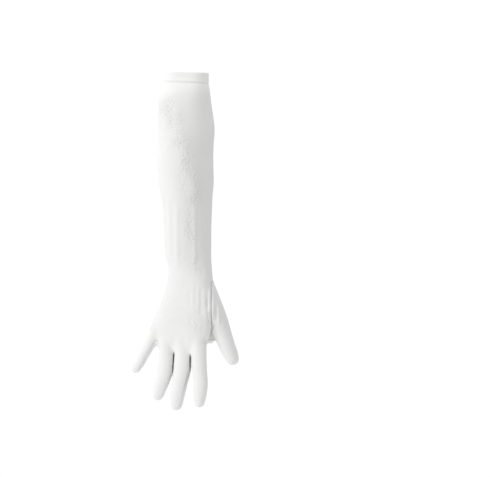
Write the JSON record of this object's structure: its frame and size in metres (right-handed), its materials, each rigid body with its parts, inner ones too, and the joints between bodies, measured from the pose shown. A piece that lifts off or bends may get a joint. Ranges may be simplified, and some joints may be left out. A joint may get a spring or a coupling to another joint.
{
  "type": "long glove",
  "caption": "Long close-fitting knitted dress glove for the right hand, filled as if worn, with a hemmed cuff and strips between the fingers.",
  "frame": {"origin": "middle of the cuff's mouth, where the arm goes in", "axes": "+Z out of the cuff along the arm with the fingers towards -Z, +X the thumb's side, -Y the back of the hand"},
  "size_m": [0.1438, 0.0644, 0.4497],
  "materials": {
    "trank": "matte",
    "thumb": "matte",
    "fourchette_index_middle": "matte",
    "fourchette_middle_ring": "matte",
    "fourchette_ring_little": "matte",
    "hem": "matte"
  },
  "bodies": {
    "root": {"trank": "trank", "thumb": "thumb", "fourchette_index_middle": "fourchette_index_middle", "fourchette_middle_ring": "fourchette_middle_ring", "fourchette_ring_little": "fourchette_ring_little", "hem": "hem"}
  },
  "joints": []
}
